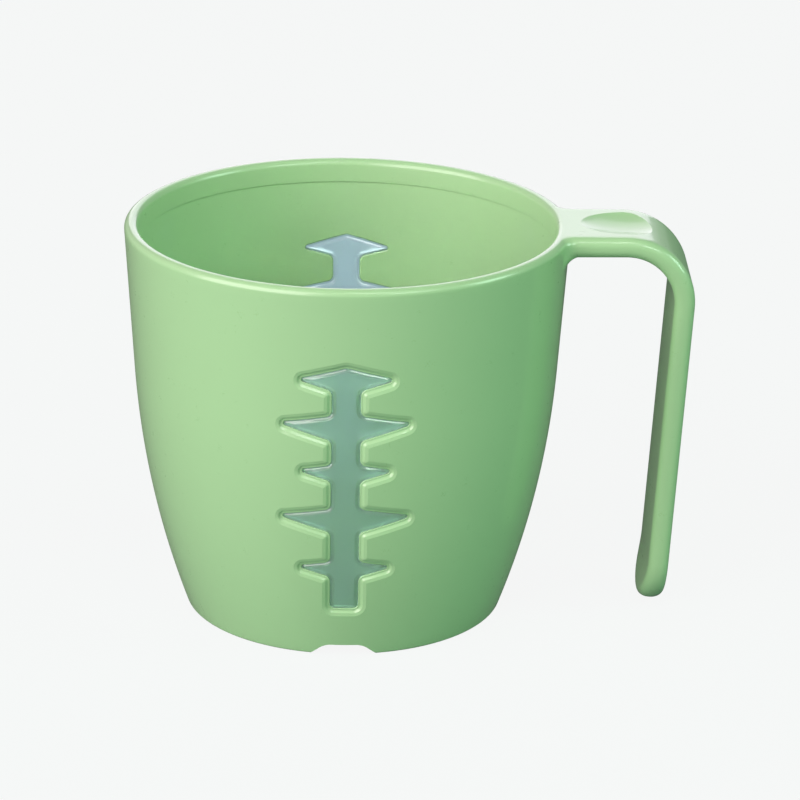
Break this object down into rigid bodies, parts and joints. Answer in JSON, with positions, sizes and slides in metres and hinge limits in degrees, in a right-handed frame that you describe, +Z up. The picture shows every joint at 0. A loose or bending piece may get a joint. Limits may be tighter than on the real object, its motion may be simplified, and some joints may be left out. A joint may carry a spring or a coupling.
{
  "type": "accessible mug",
  "caption": "Moulded plastic drinking mug with an open-ended handle, a thumb dish and graduated see-through windows that show how full it is.",
  "frame": {"origin": "on the table, under the middle of the mug's overall box, so the bowl's axis stands 12.5 mm towards -X from it", "axes": "+X from the bowl to the handle, -Y to the front window, +Z up along the bowl's axis"},
  "size_m": [0.115, 0.09, 0.0813],
  "materials": {
    "body_plastic": "glossy opaque light green moulded plastic",
    "window_plastic": "see-through bluish moulded plastic"
  },
  "bodies": {
    "root": {"mug_body": "body_plastic", "front_window": "window_plastic", "rear_window": "window_plastic"}
  },
  "joints": []
}
